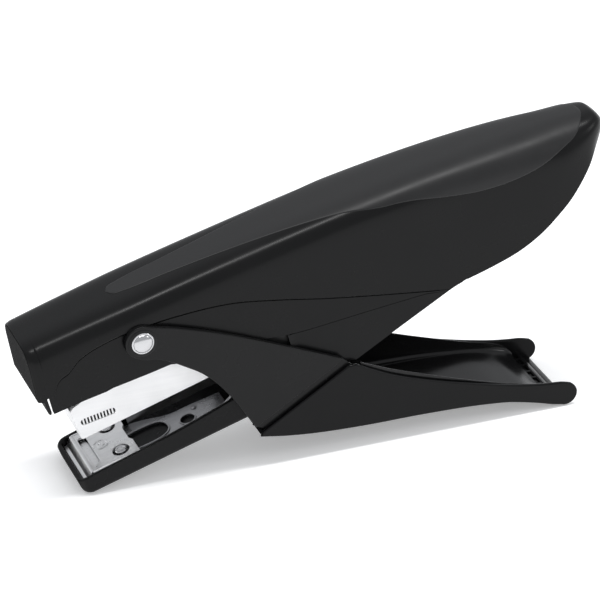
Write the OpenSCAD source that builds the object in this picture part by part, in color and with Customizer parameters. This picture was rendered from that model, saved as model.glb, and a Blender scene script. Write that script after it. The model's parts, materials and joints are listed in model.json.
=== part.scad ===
// Plier stapler, closed and at rest: it stands on the front edge of its jaw and
// on the tail of its lower handle. X runs along the stapler with the nose at -X,
// Z is up, and the XZ plane is the plane of symmetry. Millimetres.

/* [Head] */
// Distance of the main rivet ahead of the origin
pivot_x = -57.5; // [-58:0.1:-57]
// Height of the main rivet above the table
pivot_z = 48.3; // [48:0.1:48.6]
// Lean of the upper handle from level, in degrees
head_tilt = 15; // [14.8:0.1:15.2]
// Half width of the cover at its widest
cover_half_w = 14; // [13.9:0.05:14.1]
// Half width of the cover at the nose
nose_half_w = 12.7; // [12.5:0.1:13]
// Thickness of the cover's side walls
cover_t = 1.6; // [1.4:0.1:1.6]
// Depth of the soft insert let into the top of the cover
inlay_t = 0.8; // [0.6:0.1:1]

/* [Lower handle] */
// Half width over the lower handle
grip_half_w = 15.5; // [15.3:0.1:16]
// Half width over the outer faces of the cheeks
cheek_half_w = 15.3; // [15.2:0.1:15.3]
// Half distance between the inner faces of the cheeks
cheek_inner = 13.5; // [13.45:0.05:13.6]
// Radius of the domed rivet heads
rivet_head_r = 3.35; // [3:0.05:3.6]

/* [Jaw] */
// Lean of the jaw from level, in degrees
jaw_tilt = 17.5; // [17.3:0.1:17.7]
// Half width of the jaw shell
jaw_half_w = 12.75; // [12.5:0.05:12.8]
// Height of the anvil's working face above the jaw's base line
anvil_h = 5.3; // [5.1:0.1:5.4]

/* [Magazine] */
// Lean of the magazine from level, in degrees
mag_tilt = 18; // [17.9:0.1:18.1]
// Half width of the staple drawer
drawer_half_w = 7.75; // [7.6:0.05:7.8]
// Height of the drawer's underside above the jaw's base line
mag_h = 14.8; // [14.7:0.1:15]
// Width of a staple over its legs
staple_w = 12.9; // [12.7:0.1:13]
// Number of staples in the strip
staple_count = 50; // [20:5:55]

/* [Motion] */
// Turn of the lower handle in a full squeeze, in degrees
squeeze = 15; // [14:0.5:15]
// Turn of the jaw in a full squeeze, in degrees
jaw_turn = 11.2; // [10:0.1:11.2]

/* [Hidden] */

$fn = 48;
// Front lower corner of the jaw, where the jaw and magazine frames start
jaw_x = -75.4;
// Rear hinge in the magazine's frame
hinge_u = 92;
hinge_h = 16;
hinge_x = jaw_x + hinge_u * cos(mag_tilt) - hinge_h * sin(mag_tilt);
hinge_z = hinge_u * sin(mag_tilt) + hinge_h * cos(mag_tilt);
// Pin between the cheeks that lifts the jaw
lift_x = -21;
lift_z = 21;
pin_r = 1.5;
fit = 0.05;
rivet_r = 2.5;
hinge_r = 2;

// ---- Frames and helpers -------------------------------------------------

// Head frame: origin on the main rivet, leaning with the upper handle
module in_head() translate([pivot_x, 0, pivot_z]) rotate([0, -head_tilt, 0]) children();

// Jaw frame: origin on the jaw's front lower corner
module in_jaw() translate([jaw_x, 0, 0]) rotate([0, -jaw_tilt, 0]) children();

// Magazine frame: the same origin, leaning with the magazine
module in_mag() translate([jaw_x, 0, 0]) rotate([0, -mag_tilt, 0]) children();

// A side profile given as [x, z], extruded from y = from to y = to
module across(from, to)
    translate([0, to, 0]) rotate([90, 0, 0]) linear_extrude(to - from) children();

// The same profile on both sides, between two distances from the middle
module both_sides(from, to) {
    across(from, to) children();
    across(-to, -from) children();
}

// A round bar across the stapler
module cross_bar(x, z, r, half)
    translate([x, half, z]) rotate([90, 0, 0]) cylinder(r = r, h = 2 * half);

// Round bars on both sides, between two distances from the middle
module cross_stubs(x, z, r, from, to)
    for (s = [-1, 1])
        translate([x, s > 0 ? to : -from, z]) rotate([90, 0, 0]) cylinder(r = r, h = to - from);

// Position of a point after a turn in the XZ plane, nose up for positive angles
function turn(p, c, a) =
    [c[0] + (p[0] - c[0]) * cos(a) + (p[1] - c[1]) * sin(a),
     c[1] - (p[0] - c[0]) * sin(a) + (p[1] - c[1]) * cos(a)];

// Closed skin over a list of rings that have equal numbers of points
module skin(rings) {
    n = len(rings[0]);
    m = len(rings);
    sides = [for (i = [0 : m - 2], j = [0 : n - 1])
        [i * n + j, i * n + (j + 1) % n, (i + 1) * n + (j + 1) % n, (i + 1) * n + j]];
    caps = [[for (j = [n - 1 : -1 : 0]) j], [for (j = [0 : n - 1]) (m - 1) * n + j]];
    polyhedron([for (ring = rings) each ring], concat(sides, caps), convexity = 6);
}

// Ring of a round wire at p, square to the direction d
function wire_ring(p, d, r, n = 8) =
    let (k = d / norm(d), a = abs(k[2]) < 0.9 ? [0, 0, 1] : [1, 0, 0],
         s = cross(k, a) / norm(cross(k, a)), t = cross(k, s))
    [for (i = [0 : n - 1]) p + r * (cos(360 * i / n) * s - sin(360 * i / n) * t)];

// Round wire of radius r along a path
module wire(path, r, n = 8) {
    last = len(path) - 1;
    skin([for (i = [0 : last])
        wire_ring(path[i], path[min(i + 1, last)] - path[max(i - 1, 0)], r, n)]);
}

// ---- Cover: lofted sections along the upper handle ------------------------

// Height of the cover's crest above the rivet line
function crest(u) = u < 50 ? 12 - 1.9 * pow((50 - u) / 83, 2)
                           : 12 - 6.75 * pow((u - 50) / 97, 2.3);
// Half width in plan: rounded nose corners, a slow swell and a beak at the tail
function swell(u) = nose_half_w + (cover_half_w - nose_half_w) * min(1, (u + 34) / 34);
function nose_round(u) = u < -31 ? 3 - sqrt(max(0, 9 - pow(-31 - u, 2))) : 0;
function beak(u) = u < 92 ? 1 : pow(max(0, 1 - pow((u - 92) / 62.1, 4)), 0.4);
function half_w(u) = (swell(u) - nose_round(u)) * beak(u);
// How square the shoulders are: 4.5 along the body, rounder at the tail
function shoulder(u) = u < 70 ? 4.5 : 4.5 - 1.9 * min(1, (u - 70) / 70);

function cover_ring(u, inset, drop) =
    let (h = max(0.3, half_w(u) - inset), c = crest(u) - drop, a = 12 - drop, n = 2 / shoulder(u))
    concat([[u, -h, -45]],
           [for (i = [0 : 16]) let (f = 180 - i * 11.25)
               [u, h * sign(cos(f)) * pow(abs(cos(f)), n), c - a + a * pow(sin(f), n)]],
           [[u, h, -45]]);
stations = concat([-33.4, -33, -32, -31], [for (u = [-22 : 14 : 90]) u],
                  [for (u = [100 : 8 : 132]) u], [137, 141, 144, 147, 149, 151, 152.5, 153.5, 154.05]);
module cover_form(inset = 0, drop = 0) skin([for (u = stations) cover_ring(u, inset, drop)]);

// Side outline of the cover, from the nose along the under edge to the tail
cover_side = concat(
    [[-31.6, 14], [-33.3, -5.6], [-32.9, -6.8], [-31.6, -7], [-30.9, -6.2], [-29.9, -6],
     [-29.8, -11.6], [-14, -11.7], [-12, -11.4], [6, -11.6], [30, -20], [40, -25], [52, -34],
     [59, -36.5], [75, -32], [86, -29], [98.4, -25.6], [106, -25.2], [116, -24], [124, -21.6],
     [131, -18.2], [136, -15.3], [141.5, -11], [145.5, -7.4], [148.5, -4.6], [151, -3.1], [153, -2.2]],
    [for (a = [0 : 12 : 72]) [146.8 + 7.3 * cos(a), -1.2 + 7.3 * sin(a)]],
    [[120, 14]]);
// Sunk field beside the cheeks, which they sweep through in a squeeze
sweep_field = concat(
    [[-7.5, -50], [-7.5, 0]], [for (a = [165 : -15 : 75]) 7.5 * [cos(a), sin(a)]],
    [[16, 4.6], [28.5, -0.4], [56, -12], [73, -19], [96, -28], [99, -50]]);
// Plan outline of the insert, as [along, half width]
inlay_plan = [[-3, 0], [-2.2, 2.2], [1, 3.4], [30, 5.6], [55, 8.7], [68, 11], [77, 12.2], [86, 13.6],
              [92, 15], [125, 15], [140, 12], [146.5, 6], [148.2, 0]];
module inlay_outline()
    translate([0, 0, -9]) linear_extrude(30)
        polygon(concat(inlay_plan, [for (i = [len(inlay_plan) - 2 : -1 : 1])
            [inlay_plan[i][0], -inlay_plan[i][1]]]));
// Lower limit of the insert: it wraps over the shoulders towards the tail
module inlay_limit()
    across(-20, 20) polygon([[-10, 30], [-10, 7], [84, 7], [98, 3.6], [108, 0.8], [118, -0.6],
                             [129, -0.4], [137, 1.1], [143, 3], [149, 5.4], [160, 30]]);
module inlay_space(inset, drop)
    intersection() {
        cover_form(inset, drop);
        inlay_outline();
        inlay_limit();
    }

module cover_shell() color("#222326") in_head() difference() {
    intersection() {
        difference() {
            cover_form();
            cover_form(cover_t, 1.8);
        }
        across(-20, 20) polygon(cover_side);
    }
    both_sides(13.2, 20) polygon(sweep_field);
    difference() {
        inlay_space(-1, -1);
        cover_form(inlay_t, inlay_t);
    }
    cross_bar(0, 0, 5, 20);
}

module grip_inlay() color("#37383b") in_head() difference() {
    inlay_space(0, 0);
    cover_form(inlay_t, inlay_t);
}

// ---- Fixed parts inside the head ----------------------------------------

frame_out = 12;
frame_t = 0.9;
web_w = 3;

module inner_frame() color("#3a3b3e") in_head() difference() {
    union() {
        both_sides(frame_out - frame_t, frame_out)
            polygon([[-8, -10.6], [6, -10.6], [30, -19], [40, -24], [52, -33], [59, -35.3],
                     [75, -31], [90, -27], [94, -18], [94, -6], [90, web_w + 1], [-8, web_w + 1]]);
        translate([-8, -frame_out, web_w]) cube([98, 2 * frame_out, 1]);
        translate([-26, -9, web_w]) cube([19, 18, 1]);
    }
    cross_bar(0, 0, rivet_r + fit, 20);
    translate([pivot_dx(), 0, pivot_dz()]) cross_bar(0, 0, hinge_r + fit, 20);
    for (u = [-18.5, -14.5]) translate([u, 0, 0]) cylinder(r = 1.05, h = 10);
    for (s = [-1, 1]) translate([70, 7 * s, 0]) cylinder(r = 1.3, h = 10);
}
// The rear hinge as seen in the head frame
function pivot_dx() = (hinge_x - pivot_x) * cos(head_tilt) + (hinge_z - pivot_z) * sin(head_tilt);
function pivot_dz() = (hinge_z - pivot_z) * cos(head_tilt) - (hinge_x - pivot_x) * sin(head_tilt);

module driver_blade() color("#b9bcc0") in_head()
    translate([-22.8, -staple_w / 2, -19.2]) cube([0.6, staple_w, 22.2]);

module driver_block() color("#85888c") in_head() difference() {
    translate([-22.2, -6.4, -4]) cube([9.2, 12.8, 7]);
    for (u = [-18.5, -14.5]) translate([u, 0, -2]) cylinder(r = 1.05, h = 10);
}

module block_screws() color("#c8cacc") in_head()
    for (u = [-18.5, -14.5]) translate([u, 0, 0]) {
        translate([0, 0, -1.5]) cylinder(r = 1, h = web_w + 2.5);
        translate([0, 0, web_w + 1]) difference() {
            cylinder(r = 1.8, h = 1.2);
            translate([-2, -0.25, 0.7]) cube([4, 0.5, 1]);
        }
    }

module head_front_plate() color("#1c1d1f") in_head()
    across(-6.4, 6.4) polygon([[-31, 3], [-31, -14.9], [-30.7, -15.6], [-30.2, -15.6],
                               [-29.95, -14.9], [-29.95, 2.3], [-24, 2.3], [-24, 3]]);

module pivot_rivet() color("#d9dbdd") translate([pivot_x, 0, pivot_z]) {
    cross_bar(0, 0, rivet_r, cheek_half_w);
    for (s = [-1, 1])
        translate([0, s * cheek_half_w, 0]) rotate([-90 * s, 0, 0]) rotate_extrude()
            polygon(concat([[0, 0], [rivet_head_r, 0], [rivet_head_r, 0.3]],
                [for (a = [15 : 15 : 90]) [rivet_head_r * cos(a), 0.3 + 1.1 * sin(a)]]));
}

module pivot_spacers() color("#a8abae") translate([pivot_x, 0, pivot_z]) difference() {
    cross_stubs(0, 0, 4.6, frame_out, cheek_inner - 0.05);
    cross_bar(0, 0, rivet_r + fit, 20);
}

module rear_hinge_pin() color("#b4b7ba") cross_bar(hinge_x, hinge_z, hinge_r, frame_out);

module cover_screws() color("#9b9ea1") in_head()
    for (s = [-1, 1]) translate([70, 7 * s, 0]) {
        translate([0, 0, 1]) cylinder(r = 1.2, h = 6.5);
        translate([0, 0, 1.6]) cylinder(r = 2.4, h = 1.4);
    }

// ---- Magazine ------------------------------------------------------------

mag_top = 29;
drawer_t = 0.8;
// Rear end of the staple strip, where the pusher rests
strip_u = 9.3;
staple_pitch = 0.55;
pusher_u = strip_u + staple_pitch * staple_count + 0.1;

// A round bar or bore along the magazine at height h
module along_bar(from, to, r, h)
    translate([from, 0, h]) rotate([0, 90, 0]) cylinder(r = r, h = to - from);

module magazine_carrier() color("#c6c9cc") in_mag() difference() {
    union() {
        across(-8.8, 8.8)
            polygon([[22, mag_top + 0.3], [97, mag_top + 0.3], [97, mag_top + 1.3],
                     [22, mag_top + 1.3]]);
        both_sides(8, 8.8)
            polygon([[22, mag_top - 0.4], [80, mag_top - 0.4], [86, 12.5], [97, 12.5],
                     [97, mag_top + 1.3], [22, mag_top + 1.3]]);
        translate([92, -8.4, 20]) cube([1, 16.8, mag_top - 19]);
    }
    translate([hinge_u, 0, hinge_h]) cross_bar(0, 0, hinge_r + fit, 20);
    along_bar(82, 94, 0.8, 25);
}

module pusher_rod() color("#d2d4d6") in_mag() {
    along_bar(32, 93, 0.75, 25);
    along_bar(93, 94.5, 1.6, 25);
}

module staple_pusher() color("#96999c") in_mag() difference() {
    union() {
        translate([pusher_u, -5.9, 16.2]) cube([6, 1, 7]);
        translate([pusher_u, 4.9, 16.2]) cube([6, 1, 7]);
        translate([pusher_u, -5.9, 22.2]) cube([6, 11.8, 4.4]);
    }
    along_bar(pusher_u - 5, pusher_u + 10, 0.85, 25);
}

module pusher_spring() color("#cfd2d4") in_mag()
    wire([for (i = [0 : 180]) let (a = i * 40)
        [pusher_u + 6.4 + 47.8 * i / 180, 1.35 * cos(a), 25 + 1.35 * sin(a)]], 0.25, 6);

module magazine_spring() color("#cfd2d4") in_mag()
    wire([for (i = [0 : 72]) let (a = i * 30)
        [46 + 2.6 * cos(a), 2.6 * sin(a), mag_top + 1.7 + 11.3 * i / 72]], 0.35);

module magazine_drawer() color("#e4e5e6") in_mag() difference() {
    union() {
        both_sides(drawer_half_w - drawer_t, drawer_half_w)
            polygon([[6.4, mag_h], [6, mag_h + 0.8], [6, 25], [7, 26], [20, mag_top], [78, mag_top],
                     [80, mag_top - 2], [80, mag_h + 3], [76, mag_h]]);
        translate([6.4, -drawer_half_w, mag_h]) cube([70, 2 * drawer_half_w, drawer_t]);
        translate([6, -drawer_half_w + 0.5, mag_h + 0.3]) cube([0.7, 2 * drawer_half_w - 1, 9.9]);
        for (i = [0 : 10], s = [-1, 1])
            translate([8.1 + i, s * drawer_half_w - 0.2, 17.5 + 0.12 * i]) cube([0.45, 0.4, 2.4]);
    }
    translate([7.4, -6.6, mag_h - 1]) cube([1.6, 13.2, 3]);
}

module staple_rail() color("#aeb1b4") in_mag()
    across(-4.7, 4.7) polygon([[10, mag_h + drawer_t + 0.01], [68, mag_h + drawer_t + 0.01],
                               [68, 20.6], [10, 20.6]]);

module staple_strip() color("#c9ccce") in_mag()
    for (i = [0 : staple_count - 1])
        translate([strip_u + staple_pitch * i, -staple_w / 2, 15.7]) difference() {
            cube([0.5, staple_w, 6.1]);
            translate([-1, 0.6, -1]) cube([3, staple_w - 1.2, 6.4]);
        }

// ---- Jaw -------------------------------------------------------------------

shell_t = 1.4;
base_top = 1;

// Plan outline of the jaw shell, [along, across], with rounded front corners
module jaw_plan(inset)
    polygon(concat(
        [[53, jaw_half_w - inset]],
        [for (a = [90 : 15 : 180])
            [3.2 + (3.2 - inset) * cos(a), jaw_half_w - 3.2 + (3.2 - inset) * sin(a)]],
        [for (a = [180 : 15 : 270])
            [3.2 + (3.2 - inset) * cos(a), 3.2 - jaw_half_w + (3.2 - inset) * sin(a)]],
        [[53, inset - jaw_half_w]]));

module jaw_shell() color("#1f2022") in_jaw() intersection() {
    difference() {
        translate([0, 0, -0.5]) linear_extrude(10) jaw_plan(0);
        translate([0, 0, base_top - 1]) linear_extrude(12) jaw_plan(shell_t);
    }
    across(-14, 14) polygon([[1.6, -0.5], [53, -0.5], [53, 8], [36, 6.5], [18, 5.6], [4.6, 5.2],
                             [2, 5], [0, 4.6], [0, 0.5]]);
    rotate([0, 90, 0]) linear_extrude(54) hull() {
        for (s = [-1, 1]) translate([-1, s * (jaw_half_w - 1.5)]) circle(r = 1.5, $fn = 32);
        translate([-12, -jaw_half_w]) square([2, 2 * jaw_half_w]);
    }
}

// Floor plate of the jaw, narrowing to the rear, with lightening holes
module jaw_base_plate() color("#c3c6c8") in_jaw()
    translate([0, 0, base_top - 1]) linear_extrude(1) difference() {
        polygon([[2, -9.5], [20, -9.6], [24, -9.2], [29, -7.2], [35, -5.5], [50, -4.8],
                 [50, 4.8], [35, 5.5], [29, 7.2], [24, 9.2], [20, 9.6], [2, 9.5]]);
        translate([15, -4.5]) square([12, 9]);
        translate([27, 0]) circle(r = 4.5);
        translate([37.6, -1.6]) circle(r = 2.3);
        translate([45.8, -0.8]) circle(r = 2.2);
        translate([45.8, -3]) square([2.6, 4.4]);
        for (s = [-1, 1]) translate([9, 7 * s]) circle(r = 0.85);
    }

module base_rivets() color("#dcdddf") in_jaw()
    for (s = [-1, 1]) translate([9, 7 * s, base_top - 1]) {
        cylinder(r = 0.8, h = 1);
        translate([0, 0, 1]) cylinder(r1 = 1.4, r2 = 0.9, h = 0.6);
    }

// Cam slot: the lift pin's path as seen from the jaw, with clearance
lift_path = [for (t = [0 : 0.25 : 1])
    turn(turn([lift_x, lift_z], [pivot_x, pivot_z], -squeeze * t),
         [hinge_x, hinge_z], -jaw_turn * t)];

module jaw_arm(s) color("#8f9295") difference() {
    in_jaw() across(s > 0 ? 9.9 : -10.9, s > 0 ? 10.9 : -9.9)
        polygon(concat([[22, base_top - 1], [56, base_top - 1], [70, 2.5], [96, 12.6]],
                       [for (a = [-20 : 20 : 100]) [91.9 + 5 * cos(a), 16.7 + 5 * sin(a)]],
                       [[64, 17], [54, 9.5], [48, 6.4], [36, 5.4], [24, 4.6], [22, 3]]));
    cross_bar(hinge_x, hinge_z, hinge_r + fit, 20);
    for (p = lift_path) cross_bar(p[0], p[1], pin_r + 0.45, 20);
    for (i = [0 : 3]) let (a = lift_path[i], b = lift_path[i + 1], d = b - a)
        translate([a[0], 0, a[1]]) rotate([0, -atan2(d[1], d[0]), 0])
            translate([0, -20, -pin_r - 0.45]) cube([norm(d), 40, 2 * pin_r + 0.9]);
}
module jaw_arm_left() jaw_arm(1);
module jaw_arm_right() jaw_arm(-1);

module anvil_plate() color("#d5d7d9") in_jaw() difference() {
    union() {
        translate([4.6, -10.9, anvil_h - 1]) cube([15.4, 21.8, 1]);
        across(-10.9, 10.9) polygon([[4.6, anvil_h - 1], [4.6, anvil_h], [1.9, base_top + 0.4],
                                     [1.9, base_top], [2.6, base_top]]);
        both_sides(9.9, 10.9) polygon([[4.6, base_top - 1], [20, base_top - 1], [20, anvil_h],
                                       [4.6, anvil_h]]);
        translate([11, 0, anvil_h - 0.3]) ring_boss();
    }
    translate([5.8, -7.4, anvil_h - 0.5]) cube([2.2, 14.8, 2]);
    for (s = [-1, 1]) translate([15.3, 6.6 * s, 0]) cylinder(r = 1.25, h = 12);
}
// Concentric rings stamped behind the clinching groove
module ring_boss() {
    difference() {
        cylinder(r = 2.3, h = 0.45);
        translate([0, 0, -1]) cylinder(r = 1.8, h = 3);
    }
    cylinder(r = 0.7, h = 0.45);
}

module anvil_rivets() color("#e8e9ea") in_jaw()
    for (s = [-1, 1]) translate([15.3, 6.6 * s, 0]) {
        translate([0, 0, base_top]) cylinder(r = 1.2, h = anvil_h - base_top);
        translate([0, 0, anvil_h]) cylinder(r1 = 1.9, r2 = 1.3, h = 0.5);
    }

// ---- Lower handle ---------------------------------------------------------

// Radius of the cheek's end round the main rivet
cheek_r = 5.15;
// Cheek outline round the main rivet, then down to the seam with the grip
cheek_line = concat(
    [for (a = [250 : -20 : 90]) [pivot_x + cheek_r * cos(a), pivot_z + cheek_r * sin(a)]],
    [[-54, 52.6], [-51, 51.9], [-47.3, 51], [-39, 48.4], [-30.4, 45.3], [-22.5, 42.1],
     [-15.6, 39.2], [-7.4, 35.7], [0.2, 32.4], [3.8, 30.8],
     [1.8, 28.9], [-23.2, 13.2], [-26.5, 18.3], [-30.6, 24.6], [-33.5, 28.4], [-37, 32.2],
     [-40.5, 35.2], [-45, 38], [-49.4, 40.5], [-54, 42]]);
// Hidden tongue of the cheek inside the grip
tongue_line = [[-24, 13.6], [3.8, 30.8], [9, 26], [9, 11], [-14, 11], [-21, 12]];

module cheek(s) color("#242527") difference() {
    union() {
        across(s > 0 ? cheek_inner : -cheek_half_w, s > 0 ? cheek_half_w : -cheek_inner)
            polygon(cheek_line);
        across(s > 0 ? cheek_inner : -14.15, s > 0 ? 14.15 : -cheek_inner)
            polygon(tongue_line);
    }
    cross_bar(pivot_x, pivot_z, rivet_r + fit, 20);
    cross_bar(lift_x, lift_z, pin_r + 0.02, 14.7);
    for (p = spacer_at) cross_bar(p[0], p[1], spacer_r + 0.02, 14.1);
}
module cheek_left() cheek(1);
module cheek_right() cheek(-1);

spacer_at = [[-14, 14], [6, 10.5]];
spacer_r = 1.5;
module lift_pin() color("#c9cbcd") cross_bar(lift_x, lift_z, pin_r, 14.6);
module handle_spacers() color("#a9abad") for (p = spacer_at) cross_bar(p[0], p[1], spacer_r, 14.05);

// Under edge and top rim of the grip, as [x, z] from front to tail
grip_under = [[-21.8, 9.8], [-13, 8.3], [-2, 7.2], [13, 6.6], [28, 6.5], [44, 6], [56, 5],
              [62, 3.9], [68, 2.4], [73, 0.9]];
grip_inner = 14.2;
grip_rim = [[76, 8], [71, 8.5], [55, 11.6], [43.5, 14.5], [32, 18], [20, 22], [12, 26.3], [8.4, 28]];
function lift_by(line, dz) = [for (p = line) p + [0, dz]];

module grip_shell() color("#1d1e20") {
    grip_channel();
    end_ribs();
}
module grip_channel() difference() {
    across(-grip_half_w, grip_half_w)
        polygon(concat(grip_under, [for (a = [-110 : 20 : 70]) [77.5 + 3.7 * cos(a), 3.7 + 3.7 * sin(a)]],
                       grip_rim, [[5.6, 28], [-21.3, 11.2]]));
    // Inside of the grip
    across(-grip_inner, grip_inner)
        polygon(concat([for (i = [0 : 7]) grip_under[i] + [0, 1.6]], [[66, 60], [-40, 60], [-40, 9.8]]));
    // Space between the two end lobes, above and behind the cross bar
    across(-grip_inner, grip_inner)
        polygon([[56, 60], [56, 6.6], [62, 5.5], [66, 4.6], [73, 1.9], [74.5, 1.7], [74.5, 2.4],
                 [79.2, 0.6], [79.2, -5], [90, -5], [90, 60]]);
    for (p = liner_screw_at) translate([p[0], 0, 0]) cylinder(r = 1.3, h = 20);
}
// Ladder of ribs between the liner and the cross bar
module end_ribs() {
    translate([70.9, -grip_inner, 1.6]) cube([0.6, 2 * grip_inner, 1.6]);
    for (y = [-12 : 6 : 12]) translate([71.4, y - 0.3, 1.2]) cube([3.4, 0.6, 1.2]);
}

// Screws that hold the liner, as [x, height of the head's seat]
liner_screw_at = [[14, 9.3], [24, 9.2]];
liner_rim = [[72.6, 4], [69.8, 6.8], [67, 8.2], [56, 11.2], [44, 14.9], [32, 18.9], [20, 23.3],
             [10, 27.6]];
liner_floor = [[10, 8.4], [13, 8.2], [28, 8.1], [44, 7.6], [56, 6.6], [62, 5.5], [66, 4.7],
               [70, 3.7], [72.4, 3.1]];

module grip_liner() color("#2b2c2f") difference() {
    across(-14.15, 14.15) polygon(concat(lift_by(liner_floor, 0.05), liner_rim));
    across(-13.55, 13.55)
        polygon(concat(lift_by(liner_floor, 0.9), [[75, 60], [0, 60], [0, 9.2]]));
    across(-13.55, 13.55) polygon([[70, 0], [80, 0], [80, 60], [70, 60]]);
    for (p = liner_screw_at) translate([p[0], 0, 0]) cylinder(r = 1.3, h = 20);
}

module liner_screws() color("#b2b5b8")
    for (p = liner_screw_at) translate([p[0], 0, 0]) {
        translate([0, 0, 6.8]) cylinder(r = 1.2, h = p[1] - 6.8);
        translate([0, 0, p[1]]) cylinder(r1 = 2.4, r2 = 2, h = 1.1);
    }

// Torsion spring round the front spacer, one leg on the grip floor, one under the rear hinge
module return_spring() color("#cfd2d4") {
    p = spacer_at[0];
    wire(concat([[p[0] + 12, -7, 9.5]],
                [for (i = [0 : 60]) let (a = -90 + i * 24.9)
                    [p[0] + 2.9 * cos(a), -7 + 14 * i / 60, p[1] + 2.9 * sin(a)]],
                [[hinge_x - 1, 7, hinge_z - hinge_r - 0.7]]), 0.5);
}

cover_shell();
grip_inlay();
inner_frame();
driver_blade();
driver_block();
block_screws();
head_front_plate();
pivot_rivet();
pivot_spacers();
rear_hinge_pin();
cover_screws();
magazine_carrier();
pusher_rod();
staple_pusher();
pusher_spring();
magazine_spring();
magazine_drawer();
staple_rail();
staple_strip();
jaw_shell();
jaw_base_plate();
base_rivets();
jaw_arm_left();
jaw_arm_right();
anvil_plate();
anvil_rivets();
cheek_left();
cheek_right();
lift_pin();
handle_spacers();
grip_shell();
grip_liner();
liner_screws();
return_spring();
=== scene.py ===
import json
from math import sin, cos, radians, pi, sqrt, hypot
import bpy
import bmesh
import numpy as np
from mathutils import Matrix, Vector


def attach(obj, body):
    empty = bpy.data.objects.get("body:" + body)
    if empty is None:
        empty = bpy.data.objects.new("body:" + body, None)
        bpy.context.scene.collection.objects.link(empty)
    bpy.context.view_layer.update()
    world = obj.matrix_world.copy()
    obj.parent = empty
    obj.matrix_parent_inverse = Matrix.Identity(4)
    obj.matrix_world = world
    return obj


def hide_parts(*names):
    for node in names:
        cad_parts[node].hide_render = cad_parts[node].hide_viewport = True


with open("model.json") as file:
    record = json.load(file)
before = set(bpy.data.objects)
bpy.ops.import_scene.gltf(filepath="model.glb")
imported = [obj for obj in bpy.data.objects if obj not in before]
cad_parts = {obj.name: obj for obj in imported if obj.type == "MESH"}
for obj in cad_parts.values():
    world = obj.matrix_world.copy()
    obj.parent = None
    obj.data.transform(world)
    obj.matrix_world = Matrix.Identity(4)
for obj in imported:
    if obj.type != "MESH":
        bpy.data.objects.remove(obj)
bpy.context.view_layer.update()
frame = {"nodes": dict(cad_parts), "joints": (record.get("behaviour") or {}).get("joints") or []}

MM = 0.001

# ---- Frames: the same leaning frames as the CAD model, in millimetres --------


def axes(x0, z0, tilt):
    """Maps (along, across, up) in a leaning frame to the row frame, in metres."""
    c, s = cos(radians(tilt)), sin(radians(tilt))

    def place(u, y, w):
        return ((x0 + u * c - w * s) * MM, y * MM, (z0 + u * s + w * c) * MM)
    return place


joint = {j["name"]: j for j in frame["joints"]}
pivot = [v / MM for v in joint["handle_squeeze"]["pos_m"]]
head = axes(pivot[0], pivot[2], 15)
jaw = axes(-75.4, 0, 17.5)
magazine = axes(-75.4, 0, 18)
level = axes(0, 0, 0)

# ---- Mesh helpers ----------------------------------------------------------


def curve(points):
    """A smooth function through (x, value) points, straight beyond the ends."""
    x, v = np.array(points, float).T
    d = np.diff(v) / np.diff(x)
    m = np.concatenate([[d[0]], (d[:-1] + d[1:]) / 2, [d[-1]]])

    def at(q):
        i = int(np.clip(np.searchsorted(x, q) - 1, 0, len(x) - 2))
        h = x[i + 1] - x[i]
        t = min(max((q - x[i]) / h, 0), 1)
        return ((2 * t ** 3 - 3 * t ** 2 + 1) * v[i] + (t ** 3 - 2 * t ** 2 + t) * h * m[i]
                + (3 * t ** 2 - 2 * t ** 3) * v[i + 1] + (t ** 3 - t ** 2) * h * m[i + 1])
    return at


def through(points, steps=6):
    """A smooth open line through points."""
    p = [np.array(q, float) for q in points]
    p = [2 * p[0] - p[1]] + p + [2 * p[-1] - p[-2]]
    line = []
    for a, b, c, d in zip(p, p[1:], p[2:], p[3:]):
        for k in range(steps):
            t = k / steps
            line.append(0.5 * (2 * b + (c - a) * t + (2 * a - 5 * b + 4 * c - d) * t * t
                               + (3 * b - a - 3 * c + d) * t ** 3))
    return [tuple(q) for q in line + [p[-2]]]


def arc(cx, cy, r, start, end, steps=12):
    return [(cx + r * cos(radians(start + (end - start) * k / steps)),
             cy + r * sin(radians(start + (end - start) * k / steps))) for k in range(steps + 1)]


def slot_outline(u0, u1, v0, v1, r):
    """A rectangle with rounded corners."""
    return (arc(u1 - r, v1 - r, r, 0, 90, 5) + arc(u0 + r, v1 - r, r, 90, 180, 5)
            + arc(u0 + r, v0 + r, r, 180, 270, 5) + arc(u1 - r, v0 + r, r, 270, 360, 5))


def sheet_grid(rows, closed=False):
    """Vertices and quads of a grid; closed joins the last column to the first."""
    n = len(rows[0])
    verts = [v for row in rows for v in row]
    last = n if closed else n - 1
    faces = [(i * n + j, i * n + (j + 1) % n, (i + 1) * n + (j + 1) % n, (i + 1) * n + j)
             for i in range(len(rows) - 1) for j in range(last)]
    return verts, faces


def tube_grid(rows):
    """A closed skin over rings, with flat ends."""
    verts, faces = sheet_grid(rows, closed=True)
    n = len(rows[0])
    start = len(verts) - n
    return verts, faces + [tuple(range(n - 1, -1, -1)), tuple(range(start, start + n))]


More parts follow.
